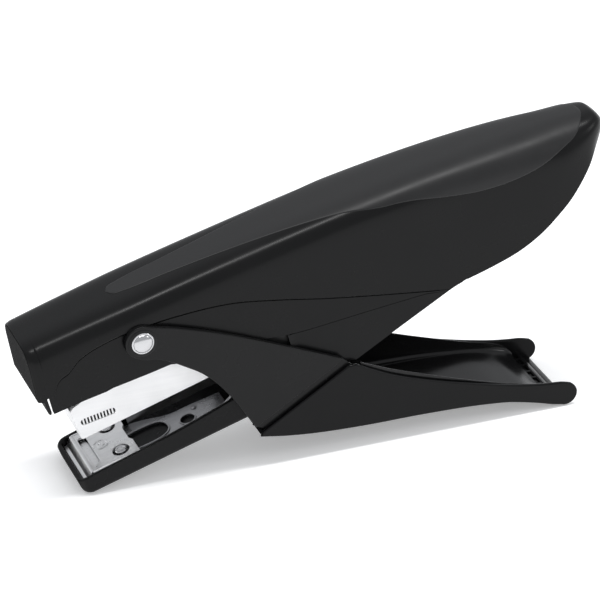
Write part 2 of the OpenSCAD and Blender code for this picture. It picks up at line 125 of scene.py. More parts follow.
def flat_plate(outlines, thickness, edge, put):
    """A flat plate with rounded edges and holes, placed by put(x, y, depth)."""
    data = bpy.data.curves.new("plate", "CURVE")
    data.dimensions, data.fill_mode = "2D", "BOTH"
    for line in outlines:
        s = data.splines.new("POLY")
        s.points.add(len(line) - 1)
        for p, q in zip(s.points, line):
            p.co = (q[0], q[1], 0, 1)
        s.use_cyclic_u = True
    data.extrude, data.bevel_depth = thickness / 2 - edge, edge
    data.offset, data.bevel_resolution = -edge, 2
    ob = bpy.data.objects.new("plate", data)
    bpy.context.scene.collection.objects.link(ob)
    bpy.context.view_layer.update()
    mesh = bpy.data.meshes.new_from_object(ob.evaluated_get(bpy.context.evaluated_depsgraph_get()))
    verts = [put(*v.co) for v in mesh.vertices]
    faces = [tuple(p.vertices) for p in mesh.polygons]
    bpy.data.objects.remove(ob)
    bpy.data.curves.remove(data)
    bpy.data.meshes.remove(mesh)
    return verts, faces


def side_plate(place, outlines, y0, y1, edge=0.3):
    """An upright plate along the stapler, from y0 to y1."""
    return flat_plate(outlines, y1 - y0, edge, lambda x, y, z: place(x, (y0 + y1) / 2 + z, y))


def lying_plate(place, outlines, h0, h1, edge=0.2):
    """A plate lying in a frame, between two heights."""
    return flat_plate(outlines, h1 - h0, edge, lambda x, y, z: place(x, y, (h0 + h1) / 2 + z))


def bar(place, profile, half):
    """A profile in (along, up), run across the stapler."""
    return tube_grid([[place(u, y, w) for u, w in profile] for y in (-half, half)])


def turned(place, u, w, profile, steps=48):
    """A round part on an axis across the stapler, from a profile of (radius, y)."""
    rows = [[place(u + r * cos(2 * pi * k / steps), y, w + r * sin(2 * pi * k / steps))
             for k in range(steps)] for r, y in profile]
    return tube_grid(rows)


def boss(place, u, y, profile, steps=32):
    """A round part standing in a frame, from a profile of (radius, height)."""
    rows = [[place(u + r * cos(2 * pi * k / steps), y + r * sin(2 * pi * k / steps), h)
             for k in range(steps)] for r, h in profile]
    return tube_grid(rows)


def piece(name, parts, material, body, replaces=(), bevel=0, angle=32):
    """One object from several parts, smooth shaded, riding on a body."""
    mesh = bpy.data.meshes.new(name)
    verts, faces = [], []
    for v, f in parts:
        start = len(verts)
        verts += v
        faces += [tuple(i + start for i in q) for q in f]
    mesh.from_pydata(verts, [], faces)
    bm = bmesh.new()
    bm.from_mesh(mesh)
    bmesh.ops.remove_doubles(bm, verts=bm.verts, dist=2e-7)
    bmesh.ops.recalc_face_normals(bm, faces=bm.faces)
    bm.to_mesh(mesh)
    bm.free()
    mesh.materials.append(material)
    for p in mesh.polygons:
        p.use_smooth = True
    ob = bpy.data.objects.new(name, mesh)
    bpy.context.scene.collection.objects.link(ob)
    if bevel:
        m = ob.modifiers.new("edges", "BEVEL")
        m.width, m.segments, m.limit_method, m.angle_limit = bevel * MM, 2, "ANGLE", radians(angle)
    else:
        mesh.set_sharp_from_angle(angle=radians(angle))
    m = ob.modifiers.new("normals", "WEIGHTED_NORMAL")
    m.keep_sharp = True
    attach(ob, body)
    if replaces:
        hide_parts(*replaces)
    return ob


# ---- Materials ---------------------------------------------------------------


def new_material(name):
    mat = bpy.data.materials.new(name)
    mat.use_nodes = True
    nodes, links = mat.node_tree.nodes, mat.node_tree.links
    shader = nodes["Principled BSDF"]
    where = nodes.new("ShaderNodeTexCoord")
    return mat, nodes, links, shader, where


def noise(nodes, links, where, scale, stretch=(1, 1, 1), turn=(0, 0, 0), detail=4, rough=0.6):
    """Noise in object space, whose cells are about 1/scale metres across."""
    m = nodes.new("ShaderNodeMapping")
    m.inputs["Scale"].default_value = stretch
    m.inputs["Rotation"].default_value = [radians(a) for a in turn]
    t = nodes.new("ShaderNodeTexNoise")
    t.inputs["Scale"].default_value = scale
    t.inputs["Detail"].default_value = detail
    t.inputs["Roughness"].default_value = rough
    links.new(where.outputs["Object"], m.inputs["Vector"])
    links.new(m.outputs["Vector"], t.inputs["Vector"])
    return t.outputs["Fac"]


def span(nodes, links, value, low, high):
    """Maps 0.3 to 0.7 of a noise to low and high."""
    r = nodes.new("ShaderNodeMapRange")
    r.inputs["From Min"].default_value, r.inputs["From Max"].default_value = 0.3, 0.7
    r.inputs["To Min"].default_value, r.inputs["To Max"].default_value = low, high
    links.new(value, r.inputs["Value"])
    return r.outputs["Result"]


def blend_colours(nodes, links, value, a, b):
    m = nodes.new("ShaderNodeMix")
    m.data_type = "RGBA"
    m.inputs["A"].default_value, m.inputs["B"].default_value = (*a, 1), (*b, 1)
    links.new(value, m.inputs["Factor"])
    return m.outputs["Result"]


def painted_edge_highlight(nodes, links, low, high):
    """Rises from 0 to 1 on the sharpest convex edges, the mask of a painted edge highlight."""
    g = nodes.new("ShaderNodeNewGeometry")
    r = nodes.new("ShaderNodeMapRange")
    r.inputs["From Min"].default_value, r.inputs["From Max"].default_value = low, high
    links.new(g.outputs["Pointiness"], r.inputs["Value"])
    return r.outputs["Result"]


def bump(nodes, links, shader, height, strength, distance):
    b = nodes.new("ShaderNodeBump")
    b.inputs["Strength"].default_value, b.inputs["Distance"].default_value = strength, distance
    links.new(height, b.inputs["Height"])
    links.new(b.outputs["Normal"], shader.inputs["Normal"])


def moulded(name, colour, rough, gloss, grain=0.1, cell=2600):
    """Moulded black plastic or paint: fine texture, slight cloudiness, convex edges painted faintly lighter
    as a painted highlight.
    """
    mat, nodes, links, shader, where = new_material(name)
    cloud = noise(nodes, links, where, 60)
    fine = noise(nodes, links, where, cell, detail=2)
    tint = blend_colours(nodes, links, cloud, [c * 0.8 for c in colour], [c * 1.2 for c in colour])
    # the sharpest convex edges are painted lighter: a painted highlight along the edges
    edge_highlight_mix = nodes.new("ShaderNodeMix")
    edge_highlight_mix.data_type = "RGBA"
    links.new(painted_edge_highlight(nodes, links, 0.62, 0.8), edge_highlight_mix.inputs["Factor"])
    links.new(tint, edge_highlight_mix.inputs["A"])
    edge_highlight_mix.inputs["B"].default_value = (*[c * 1.6 + 0.003 for c in colour], 1)
    links.new(edge_highlight_mix.outputs["Result"], shader.inputs["Base Color"])
    links.new(span(nodes, links, cloud, rough * 0.85, rough * 1.15), shader.inputs["Roughness"])
    # faces turned to the front lose their gloss, a painted shade that keeps them dark; the rest has the full
    # gloss
    parts = nodes.new("ShaderNodeSeparateXYZ")
    links.new(where.outputs["Normal"], parts.inputs["Vector"])
    front_gloss_shade = nodes.new("ShaderNodeMapRange")
    front_gloss_shade.inputs["From Min"].default_value, front_gloss_shade.inputs["From Max"].default_value = -0.92, -0.7
    front_gloss_shade.inputs["To Min"].default_value, front_gloss_shade.inputs["To Max"].default_value = gloss * 0.003, gloss
    links.new(parts.outputs["X"], front_gloss_shade.inputs["Value"])
    links.new(front_gloss_shade.outputs["Result"], shader.inputs["Specular IOR Level"])
    bump(nodes, links, shader, fine, grain, 0.00003)
    return mat


def sheet_steel(name, light, dark, rough, turn=18, streaks=900, strength=0.06, metal=1.0):
    """Plated sheet steel with fine rolling marks along the sheet and small stains."""
    mat, nodes, links, shader, where = new_material(name)
    brushed = noise(nodes, links, where, streaks, (0.04, 1, 1), (0, turn, 0), 6)
    stain = noise(nodes, links, where, 140)
    mixed = nodes.new("ShaderNodeMath")
    mixed.operation = "MULTIPLY_ADD"
    mixed.inputs[1].default_value = 0.5
    links.new(brushed, mixed.inputs[0])
    half = nodes.new("ShaderNodeMath")
    half.operation = "MULTIPLY"
    half.inputs[1].default_value = 0.5
    links.new(stain, half.inputs[0])
    links.new(half.outputs[0], mixed.inputs[2])
    links.new(blend_colours(nodes, links, span(nodes, links, mixed.outputs[0], 0, 1), dark, light),
              shader.inputs["Base Color"])
    links.new(span(nodes, links, stain, rough * 0.75, rough * 1.3), shader.inputs["Roughness"])
    shader.inputs["Metallic"].default_value = metal
    bump(nodes, links, shader, brushed, strength, 0.00002)
    return mat


cover_black = moulded("cover_black", (0.006, 0.006, 0.0062), 0.26, 0.15, 0.04)
inlay_black = moulded("inlay_black", (0.016, 0.016, 0.0165), 0.42, 0.26, 0.25, 1800)
cheek_black = moulded("cheek_black", (0.008, 0.008, 0.0083), 0.26, 0.17, 0.04)
grip_black = moulded("grip_black", (0.005, 0.005, 0.0053), 0.22, 0.14, 0.04)
liner_black = moulded("liner_black", (0.005, 0.005, 0.0053), 0.2, 0.3, 0.04)
jaw_black = moulded("jaw_black", (0.005, 0.005, 0.0053), 0.26, 0.14, 0.05)
frame_black = moulded("frame_black", (0.012, 0.012, 0.012), 0.4, 0.3, 0.12)
drawer_steel = sheet_steel("drawer_steel", (0.86, 0.86, 0.86), (0.78, 0.78, 0.79), 0.48, metal=0.6)
anvil_steel = sheet_steel("anvil_steel", (0.88, 0.88, 0.88), (0.72, 0.72, 0.73), 0.3, 17.5)
floor_steel = sheet_steel("floor_steel", (0.4, 0.4, 0.41), (0.26, 0.26, 0.27), 0.28, 17.5, 500)
arm_steel = sheet_steel("arm_steel", (0.5, 0.5, 0.51), (0.36, 0.36, 0.37), 0.35)
rivet_chrome = sheet_steel("rivet_chrome", (0.62, 0.62, 0.63), (0.5, 0.5, 0.51), 0.16, 0, 300, 0.0)
spring_steel = sheet_steel("spring_steel", (0.62, 0.62, 0.63), (0.5, 0.5, 0.51), 0.3, 0, 2000)
staple_steel = sheet_steel("staple_steel", (0.74, 0.74, 0.75), (0.6, 0.6, 0.61), 0.3, 0, 2000)

# ---- Cover -------------------------------------------------------------------

NOSE, NOSE_ROUND, TAIL_U, TAIL_W, TAIL_R = -33.3, 0.7, 146.8, -1.2, 7.25
WALL, CORNER = 1.6, 98.4
under_skirt = curve([(59, -36.5), (75, -32), (86, -29), (CORNER, -25.6)])
under_tail = curve([(CORNER, -25.6), (106, -25.2), (116, -24), (124, -21.6), (131, -18.2), (136, -15.3),
                    (141.5, -11), (145.5, -7.4), (148.5, -4.6), (151, -3), (153, -2), (154.05, -1.25)])
under_front = [(-33.3, -5.6), (-32.9, -6.6), (-31.6, -7), (-30.9, -6.2), (-29.9, -6), (-29.8, -11.6),
               (-14, -11.7), (-12, -11.4), (6, -11.6), (30, -20), (40, -25), (52, -34), (59, -36.5)]
sunk_line = curve([(-29.5, -11), (-27.7, -4.5), (-22.1, -0.6), (-18, 2), (-9, 3.9), (0, 3.9),
                   (11, 2.9), (28.2, -0.6), (42, -6), (55.5, -12), (72.5, -18.9), (95.3, -27.8)])
skirt_line = curve([(30, -15.4), (34.7, -16.6), (44.4, -19.1), (55.2, -20.7), (67.2, -22.3),
                    (89.8, -25.7), (96, -27)])
NOTCH = (33.6, 41.4)


def crest(u):
    top = 12 - 1.9 * ((50 - u) / 83) ** 2 if u < 50 else 12 - 6.8 * ((u - 50) / 97) ** 2.25
    if u > TAIL_U:
        top = min(top, TAIL_W + sqrt(max(TAIL_R ** 2 - (u - TAIL_U) ** 2, 0)))
    return top


def half_width(u):
    h = 12.7 + 1.3 * min(1, (u + 34) / 34)
    if u < -31:
        h -= 3 - sqrt(max(0, 9 - (-31 - u) ** 2))
    if u > 92:
        h *= max(0, 1 - ((u - 92) / 62.07) ** 4) ** 0.4
    return h


def lower_edge(u):
    if NOTCH[0] < u < NOTCH[1]:
        return skirt_line(u)
    if u > 59:
        return under_tail(u) if u > CORNER else under_skirt(u)
    x, w = zip(*under_front)
    return float(np.interp(u, x, w))


def section(u, inset=0.0):
    """Half of a cross-section from the lower edge to the crest: lengths, half widths, heights."""
    h, top, low = half_width(u), crest(u), lower_edge(u)
    depth = min(12.0, 0.55 * (top - min(low, -11.4 if u < 30 else low)))
    square = 4.5 if u < 70 else 4.5 - 1.9 * min(1, (u - 70) / 70)
    tuck = h * 0.3 * max(0, (u - 144) / 10) ** 1.5
    v = np.linspace(0, 1, 60)
    f = np.radians(90 * np.linspace(0, 1, 240)[1:] ** 1.4)
    y = np.concatenate([h - tuck + tuck * np.sin(v * pi / 2), h * np.cos(f) ** (2 / square)])
    w = np.concatenate([low + (top - depth - low) * v, top - depth + depth * np.sin(f) ** (2 / square)])
    y[-1] = 0
    if inset:
        y = np.maximum(y - inset, 0)
        w = np.minimum(w, top - inset - 0.2)
    s = np.concatenate([[0], np.cumsum(np.hypot(np.diff(y), np.diff(w)))])
    return s, y, w


def bands(u):
    """Heights of the skirt line and of the sunk field's line at u, their depths and their scale."""
    low = lower_edge(u)
    near = min(max((CORNER - u) / 12, 0.2), 1)
    line = max(sunk_line(u), low + 1.6 * near) if -29 < u < CORNER else low + 1.6 * near
    skirt = min(max(skirt_line(u), low + 0.45 * near), line - near)
    ending = min(max((CORNER - u) / 1.5, 0), 1)
    sink = min(max((u + 29) / 8, 0), 1) * ending
    skirt_sink = min(max((u - NOTCH[1]) / 2, 0), 1) * ending
    return skirt, line, 0.55 * sink, 0.45 * skirt_sink, near


def cover_row(u, inset=0.0):
    """Points over the cover at u, from the lower edge at -Y to the lower edge at +Y."""
    s, y, w = section(u, inset)
    skirt, line, sink, skirt_sink, g = bands(u)
    at = lambda height: float(np.interp(height, w, s))
    a, b = at(skirt), at(line)
    groove, skirt_groove = 0.55 * sink, 0.5 * min(1, skirt_sink * 3)
    stops = np.concatenate([np.linspace(0, a - 0.38 * g, 8), [a - 0.26 * g, a - 0.06 * g],
                            np.linspace(a + 0.06 * g, b - 0.46 * g, 10),
                            [b - 0.32 * g, b - 0.1 * g, b + 0.06 * g], np.linspace(b + 0.3 * g, s[-1], 78)])
    depth = np.concatenate([np.full(8, sink + skirt_sink), np.full(2, sink + skirt_sink + skirt_groove),
                            np.full(10, sink), np.full(2, sink + groove), [sink * 0.25], np.zeros(78)])
    yy, ww = np.interp(stops, s, y), np.interp(stops, s, w)
    yy[:-1] = np.maximum(yy[:-1] - (0 if inset else depth[:-1]), 0.02)
    side = [(-p, q) for p, q in zip(yy, ww)]
    both = side + [(-p, q) for p, q in side[-2::-1]]
    lean = max(0, 1 - (u - NOSE) / 14)
    return [head(u + lean * 0.087 * (q + 5.6), p, q) for p, q in both]


def cover_grid():
    stations = [NOSE + NOSE_ROUND, -32.3, -32, -31.6, -31.2, -30.9, -30.4, -29.95, -29.8]
    stations += list(np.arange(-29.5, -18, 0.4)) + list(np.arange(-18, 33.5, 1.0)) + [33.55, 33.65]
    stations += list(np.arange(34.5, 41, 1.0)) + [41.35, 41.45] + list(np.arange(42, 98, 1.0)) + [CORNER]
    stations += list(np.arange(99, 140, 1.0)) + list(np.arange(140, 150, 0.6))
    stations += [150.3, 150.9, 151.5, 152, 152.5, 152.9, 153.2, 153.5, 153.7, 153.85, 153.95, 154]
    rows = [cover_row(u) for u in stations]
    # rounded front edge: the first rings shrink towards the middle of the front face
    first = np.array(rows[0])
    away = first - np.array(head(NOSE + 0.7, 0, 2))
    away /= np.linalg.norm(away, axis=1, keepdims=True)
    ahead = np.array(head(-1, 0, 0)) - np.array(head(0, 0, 0))
    nose = []
    for turn in (88, 66, 44, 22):
        inset, forward = NOSE_ROUND * (1 - cos(radians(turn))), NOSE_ROUND * sin(radians(turn))
        nose.append([tuple(p) for p in first - away * inset * MM + ahead * forward])
    rows = nose + rows
    inner = [cover_row(min(max(u, NOSE + WALL), 151), WALL) for u in stations]
    n = len(rows[0])
    verts, faces = sheet_grid(rows)
    faces.append(tuple(range(n)))
    inner_verts, inner_faces = sheet_grid(inner)
    start = len(verts)
    verts += inner_verts
    faces += [tuple(i + start for i in q) for q in inner_faces]
    skip = len(nose)
    for i in range(len(inner) - 1):
        for j in (0, n - 1):
            a, b = (i + skip) * n + j, (i + skip + 1) * n + j
            c, d = start + (i + 1) * n + j, start + i * n + j
            faces.append((a, b, c, d))
    return verts, faces


piece("cover_moulding", [cover_grid()], cover_black, "upper_handle", ["cover_shell"],
      angle=30)

# Soft insert, following the cover's top and wrapping over its shoulders at the tail
inlay_half = curve([(-3, 0.2), (-2.2, 2), (1, 3.2), (15, 4.4), (30, 5.9), (55, 9.1), (68, 11.2),
                    (77.6, 13), (86, 14.5)])
inlay_low = curve([(60, 11.2), (68, 10.2), (77.6, 8.8), (88.5, 6.6), (98.6, 3.4), (108.2, 0.8),
                   (118.3, -0.5), (128.8, -0.3), (136.5, 1.2), (143.5, 2.8), (146.7, 3.6), (148.5, 3.9)])
INLAY_END = 148.5


def inlay_grid(lift=0.2):
    rows = []
    stations = [-3, -2.8, -2.5, -2.2, -1.8, -1.2, -0.4, 1] + list(np.arange(2, 140, 1.5))
    stations += list(np.arange(140, 147, 0.6)) + [147.2, 147.6, 147.9, 148.2, 148.4, INLAY_END]
    for u in stations:
        s, y, w = section(u)
        s_top = s[-1]
        by_plan = float(np.interp(-inlay_half(min(u, 84)), -y, s))
        by_side = float(np.interp(inlay_low(u), w, s))
        share = min(max((u - 66) / 18, 0), 1)
        share = share * share * (3 - 2 * share)
        reach = s_top - by_plan * (1 - share) - by_side * share
        if u > 140:
            reach *= max(0.02, 1 - ((u - 140) / (INLAY_END - 139.9)) ** 2.6) ** 0.5
        edge = min(reach * 0.4, 0.5)
        stops = [-reach, -reach + edge * 0.25, -reach + edge * 0.6, -reach + edge]
        stops += list(np.linspace(-reach + edge, reach - edge, 61)[1:-1])
        stops += [reach - edge, reach - edge * 0.6, reach - edge * 0.25, reach]
        rise = [-0.12, 0.55, 0.9, 1] + [1] * 59 + [1, 0.9, 0.55, -0.12]
        ends = min(1, (u + 3.2) / 0.8, (INLAY_END + 0.2 - u) / 0.8)
        row = []
        for t, k in zip(stops, rise):
            q = s_top - abs(t)
            yy, ww = float(np.interp(q, s, y)), float(np.interp(q, s, w))
            y2, w2 = float(np.interp(q - 0.2, s, y)), float(np.interp(q - 0.2, s, w))
            n = np.array([abs(ww - w2) + 1e-9, abs(yy - y2)]) if abs(t) > 0.2 else np.array([0, 1.0])
            n /= np.linalg.norm(n)
            raised = lift * (k * ends if k > 0 else k)
            row.append(head(u, (1 if t > 0 else -1) * (yy + n[0] * raised), ww + n[1] * raised))
        rows.append(row)
    return sheet_grid(rows)


piece("soft_insert", [inlay_grid()], inlay_black, "upper_handle", ["grip_inlay"],
      angle=60)

# ---- Main rivet ----------------------------------------------------------------

HEAD_R = 3.35
CHEEK_IN, CHEEK_OUT = 13.5, 15.3
rivet_rim = [(HEAD_R, CHEEK_OUT), (HEAD_R, 15.6), (HEAD_R - 0.15, 15.75), (HEAD_R - 0.4, 15.75),
             (HEAD_R - 0.5, 15.6)]
dome = rivet_rim + [((HEAD_R - 0.55) * cos(radians(a)), 15.6 + 1.05 * sin(radians(a)))
                    for a in range(3, 90, 3)] + [(0.05, 16.65)]
rivet_profile = ([(r, -y) for r, y in dome[::-1]] + [(2.5, -CHEEK_OUT), (2.5, CHEEK_OUT)] + dome)
piece("main_rivet", [turned(level, pivot[0], pivot[2], rivet_profile, 96)], rivet_chrome,
      "upper_handle", ["pivot_rivet"])

# ---- Lower handle -----------------------------------------------------------------

CHEEK_R = 5.15
cheek_top = through([(-57, 53.4), (-54, 52.6), (-51, 51.9), (-47.3, 51), (-39, 48.4), (-30.4, 45.3),
                     (-22.5, 42.1), (-15.6, 39.2), (-7.4, 35.7), (0.2, 32.4), (3.8, 30.8)])
cheek_front = through([(-23.2, 13.2), (-26.5, 18.3), (-30.6, 24.6), (-33.5, 28.4), (-37, 32.2),
                       (-40.5, 35.2), (-45, 38), (-49.4, 40.5), (-54, 42.2), (-57, 42.5)])
cheek_outline = arc(pivot[0], pivot[2], CHEEK_R, 250, 90, 24) + cheek_top[3:] + [(1.8, 28.9)] + cheek_front
tongue_outline = [(-24, 13.6), (3.8, 30.8), (9, 26), (9, 11), (-14, 11), (-21, 12)]
for side, s in (("left", 1), ("right", -1)):
    y = sorted((CHEEK_IN * s, CHEEK_OUT * s))
    t = sorted((CHEEK_IN * s, 14.15 * s))
    piece("cheek_plate_" + side,
          [side_plate(level, [cheek_outline], y[0], y[1], 0.3),
           side_plate(level, [tongue_outline], t[0], t[1], 0.1),
           turned(level, pivot[0], pivot[2],
                  [(4.3, s * CHEEK_OUT), (4.3, s * 15.34), (4.1, s * 15.44), (3.4, s * 15.44),
                   (3.4, s * CHEEK_OUT)])],
          cheek_black, "lower_handle", ["cheek_" + side])

grip_under = through([(-21.8, 9.8), (-13, 8.3), (-2, 7.2), (13, 6.6), (28, 6.5), (44, 6), (56, 5),
                      (62, 3.9), (68, 2.4), (73, 0.9)])
rim_height = curve([(8.4, 28), (12, 26.1), (20, 22.2), (32, 17.9), (43.5, 14.5), (55, 11.5), (66, 9.2),
                    (72, 8.4), (76, 8), (79, 7.2)])
grip_rim = [(x, rim_height(x)) for x in np.linspace(79, 8.4, 50)]
lobe = arc(77.5, 3.7, 3.7, -110, 55, 14)
grip_side = grip_under + lobe + grip_rim + [(7.2, 28.2), (5.6, 28), (-21.3, 11.2)]
floor_top = curve([(-21.8, 11.4), (-13, 9.9), (-2, 8.8), (13, 8.2), (28, 8.1), (44, 7.6), (56, 6.6),
                   (62, 5.5), (66, 4.6), (73, 1.9), (76, 1.7)])
floor_low = curve([(-21.8, 9.9), (-13, 8.4), (-2, 7.3), (13, 6.7), (28, 6.6), (44, 6.1), (56, 5.1),
                   (62, 4), (68, 2.5), (73, 1), (76, 0.25)])


def grip_floor():
    stations = list(np.arange(-21.5, 75, 2.0)) + [75]
    rows = [[level(x, y, z) for y, z in ((-14.3, floor_low(x)), (14.3, floor_low(x)),
                                        (14.3, floor_top(x)), (-14.3, floor_top(x)))] for x in stations]
    return tube_grid(rows)


end_bar = [(74.4, 0.5), (74.5, 2.2), (74.9, 2.5), (76.2, 2.0), (76.6, 1.55), (77.1, 1.5), (78.9, 0.75),
           (79.2, 0.45), (79.0, 0.1), (76.4, 0.2)]
ribs = [bar(level, [(70.9, 1.5), (70.9, 3.1), (71.1, 3.2), (71.3, 3.2), (71.5, 3.1), (71.5, 1.5)], 14.3)]
for y in np.arange(-12, 13, 4.0):
    rung = [(71.4, 1.2), (71.4, 2.6), (74.6, 2.3), (74.6, 1.2)]
    ribs.append(tube_grid([[level(x, y + dy, z) for x, z in rung] for dy in (-0.35, 0.35)]))
piece("grip_moulding",
      [side_plate(level, [grip_side], -15.5, -14.2, 0.45),
       side_plate(level, [grip_side], 14.2, 15.5, 0.45),
       grip_floor(), bar(level, end_bar, 14.3)] + ribs,
      grip_black, "lower_handle", ["grip_shell"], angle=40)

liner_rim = curve([(10, 27.6), (20, 23.3), (32, 18.9), (44, 14.9), (56, 11.2), (67, 8.2), (69.8, 6.8),
                   (71.6, 5.2), (72.6, 4)])


def liner_grid():
    """A rounded trough between the side walls, open at both ends."""
    rows = []
    for x in list(np.arange(10, 68, 1.0)) + [68, 69, 69.8, 70.6, 71.2, 71.8, 72.2, 72.6]:
        rim, floor = liner_rim(x), floor_top(x) + 0.75
        rim = max(rim, floor + 0.2)
        round_by = 9 - 6 * min(1, max(0, (x - 52) / 18))
        inner = []
        for k in range(41):
            a = pi * k / 40
            c, s = cos(a), sin(a)
            y = -13.6 * (1 if c > 0 else -1) * abs(c) ** (2 / round_by)
            inner.append((y, rim - (rim - floor) * abs(s) ** (2 / round_by)))
        edge = [(-13.75, rim + 0.12), (-14.0, rim + 0.1), (-14.15, rim - 0.1)]
        outer = [(14.15, floor - 0.6), (-14.15, floor - 0.6)]
        ring = edge[::-1] + inner + [(-y, z) for y, z in edge] + outer
        rows.append([level(x, y, z) for y, z in ring])
    return tube_grid(rows)


piece("grip_lining", [liner_grid()], liner_black, "lower_handle", ["grip_liner"],
      angle=50)

# ---- Jaw ------------------------------------------------------------------------

JAW_W, BASE = 12.75, 1.0
jaw_top = curve([(0, 4.6), (2, 5), (4.6, 5.2), (18, 5.6), (36, 6.5), (53, 8)])


def jaw_wall():
    """The bent wall round the jaw's front and along both sides, with a rolled lower edge."""
    path = [((u, JAW_W), (0, 1)) for u in np.linspace(53, 3.6, 26)]
    for a in np.linspace(90, 180, 10):
        path.append(((3.2 + 3.2 * cos(radians(a)), JAW_W - 3.2 + 3.2 * sin(radians(a))),
                     (cos(radians(a)), sin(radians(a)))))
    for y in np.linspace(JAW_W - 3.6, 3.6 - JAW_W, 12):
        path.append(((0, y), (-1, 0)))
    for a in np.linspace(180, 270, 10):
        path.append(((3.2 + 3.2 * cos(radians(a)), 3.2 - JAW_W + 3.2 * sin(radians(a))),
                     (cos(radians(a)), sin(radians(a)))))
    path += [((u, -JAW_W), (0, -1)) for u in np.linspace(3.6, 53, 26)]
    rows = []
    for (u, y), (nu, ny) in path:
        top = jaw_top(u)
        front = max(0, -nu)
        profile = [(1.2, -0.5), (0.6, -0.38), (0.2, -0.02), (0.02, 0.5), (0, 1.2), (0, top - 0.45),
                   (0.1, top - 0.15), (0.35, top), (1.0, top), (1.3, top - 0.12), (1.4, top - 0.4),
                   (1.4, 0.35), (2.2, 0.35), (2.2, -0.5)]
        rows.append([jaw(u - nu * d + front * 0.35 * max(0, 1 - h / 2), y - ny * d, h)
                     for d, h in profile])
    return tube_grid(rows)


jaw_floor_outline = ([(53, -11.6), (53, 11.6)] + [(u, y) for u, y in arc(3.4, 9.4, 2.2, 90, 180, 6)]
                     + arc(3.4, -9.4, 2.2, 180, 270, 6))
piece("jaw_channel", [jaw_wall(), lying_plate(jaw, [jaw_floor_outline], -0.5, 0.35, 0.05)],
      jaw_black, "jaw", ["jaw_shell"], angle=40)

waist = through([(20, 9.6), (22, 9.5), (24.5, 8.9), (27, 8), (29.2, 7), (32, 5.7), (34.8, 5), (38, 4.9),
                 (41.2, 4.9), (45, 4.5), (50, 4.2)])
base_outline = [(4, -9.4)] + [(u, -y) for u, y in waist] + waist[::-1] + [(4, 9.4)]
big_hole = [(24 + 7.6 * np.sign(cos(a)) * abs(cos(a)) ** 0.7, 4.4 * np.sign(sin(a)) * abs(sin(a)) ** 0.8)
            for a in np.linspace(0, 2 * pi, 61)[:-1]]
PIN_HOLE = (37.6, -1.6, 2.3)


def rolled_lip(outline, width, low, high):
    """A thin rolled lip along the edge of a hole."""
    rows = []
    n = len(outline)
    for k in range(n + 1):
        (u0, y0), (u1, y1), (u2, y2) = outline[k - 1 if k else n - 1], outline[k % n], outline[(k + 1) % n]
        length = hypot(u2 - u0, y2 - y0)
        nu, ny = (y2 - y0) / length, -(u2 - u0) / length
        rows.append([jaw(u1 + nu * d, y1 + ny * d, h) for d, h in
                     ((-0.15, low), (-0.15, high - 0.1), (0.0, high), (width * 0.6, high), (width, low))])
    return sheet_grid(rows, closed=True)


pin_hole = arc(*PIN_HOLE, 0, 350, 28)
piece("jaw_floor_plate",
      [lying_plate(jaw, [base_outline, big_hole, pin_hole], 0.4, BASE, 0.12),
       rolled_lip(big_hole, 0.55, BASE - 0.1, BASE + 0.35),
       rolled_lip(pin_hole, 0.45, BASE - 0.1, BASE + 0.3),
       boss(jaw, 41, 2.4, [(0.95, BASE - 0.1), (0.8, BASE + 0.3), (0.4, BASE + 0.45), (0.05, BASE + 0.5)])],
      floor_steel, "jaw", ["jaw_base_plate"])

ANVIL = 5.3
anvil_outline = [(5, -10.9), (5, 10.9), (20, 10.9), (20, 4.5), (19.2, 3), (19.2, -3), (20, -4.5), (20, -10.9)]
pocket = slot_outline(5.9, 8.4, -7.9, 7.9, 1.2)
cutouts = [arc(15.3, s * 6.8, 2.6, 0, 350, 28) for s in (-1, 1)]


def anvil_fold():
    """The front flange, bent down from the working face, with a turned-out lip."""
    outer = [(5.4, ANVIL)] + arc(4.9, ANVIL - 0.7, 0.7, 90, 160, 6) + [
        (3.3, 3.5), (2.9, 3.0), (1.9, 2.9), (1.7, 2.6)]
    inner = [(1.8, 2.3), (3.1, 2.3), (3.7, 2.8), (4.9, ANVIL - 0.9), (5.4, ANVIL - 0.85)]
    return bar(jaw, outer + inner, 10.9)


def rolled_side(s):
    """A rolled flange along one side of the anvil, with a bulging tab beside the rivet."""
    rows = []
    for u in np.linspace(5.0, 20, 60):
        bulge = 0.5 * max(0, 1 - ((u - 16.6) / 2.4) ** 2)
        y0 = 10.6 + bulge
        ring = [(y0 + 0.7 * cos(a), ANVIL - 0.5 + 0.65 * sin(a))
                for a in np.linspace(-pi / 2, pi / 2 + 0.9, 10)]
        ring += [(y0 - 1.2, ANVIL - 0.5), (y0 - 0.6, 1.9)]
        rows.append([jaw(u, s * y, h) for y, h in ring])
    return tube_grid(rows)


ring_mark = [(r, ANVIL + rise) for r, rise in (
    (2.5, -0.2), (2.45, 0.12), (2.25, 0.24), (2.0, 0.2), (1.8, 0.02), (1.3, 0.01), (1.1, 0.22),
    (0.6, 0.22), (0.5, 0.05), (0.05, 0.05))]
piece("anvil",
      [lying_plate(jaw, [anvil_outline, pocket] + cutouts, ANVIL - 0.85, ANVIL, 0.2),
       anvil_fold(), rolled_side(1), rolled_side(-1),
       lying_plate(jaw, [slot_outline(5.5, 8.8, -8.3, 8.3, 1.2)], ANVIL - 2.0, ANVIL - 1.5, 0.1)]
      + [lying_plate(jaw, [slot_outline(12.2, 18.6, s * 6.8 - 3.2, s * 6.8 + 3.2, 0.5)],
                     ANVIL - 2.3, ANVIL - 1.7, 0.1) for s in (-1, 1)]
      + [boss(jaw, 11, 0, ring_mark)],
      anvil_steel, "jaw", ["anvil_plate"])
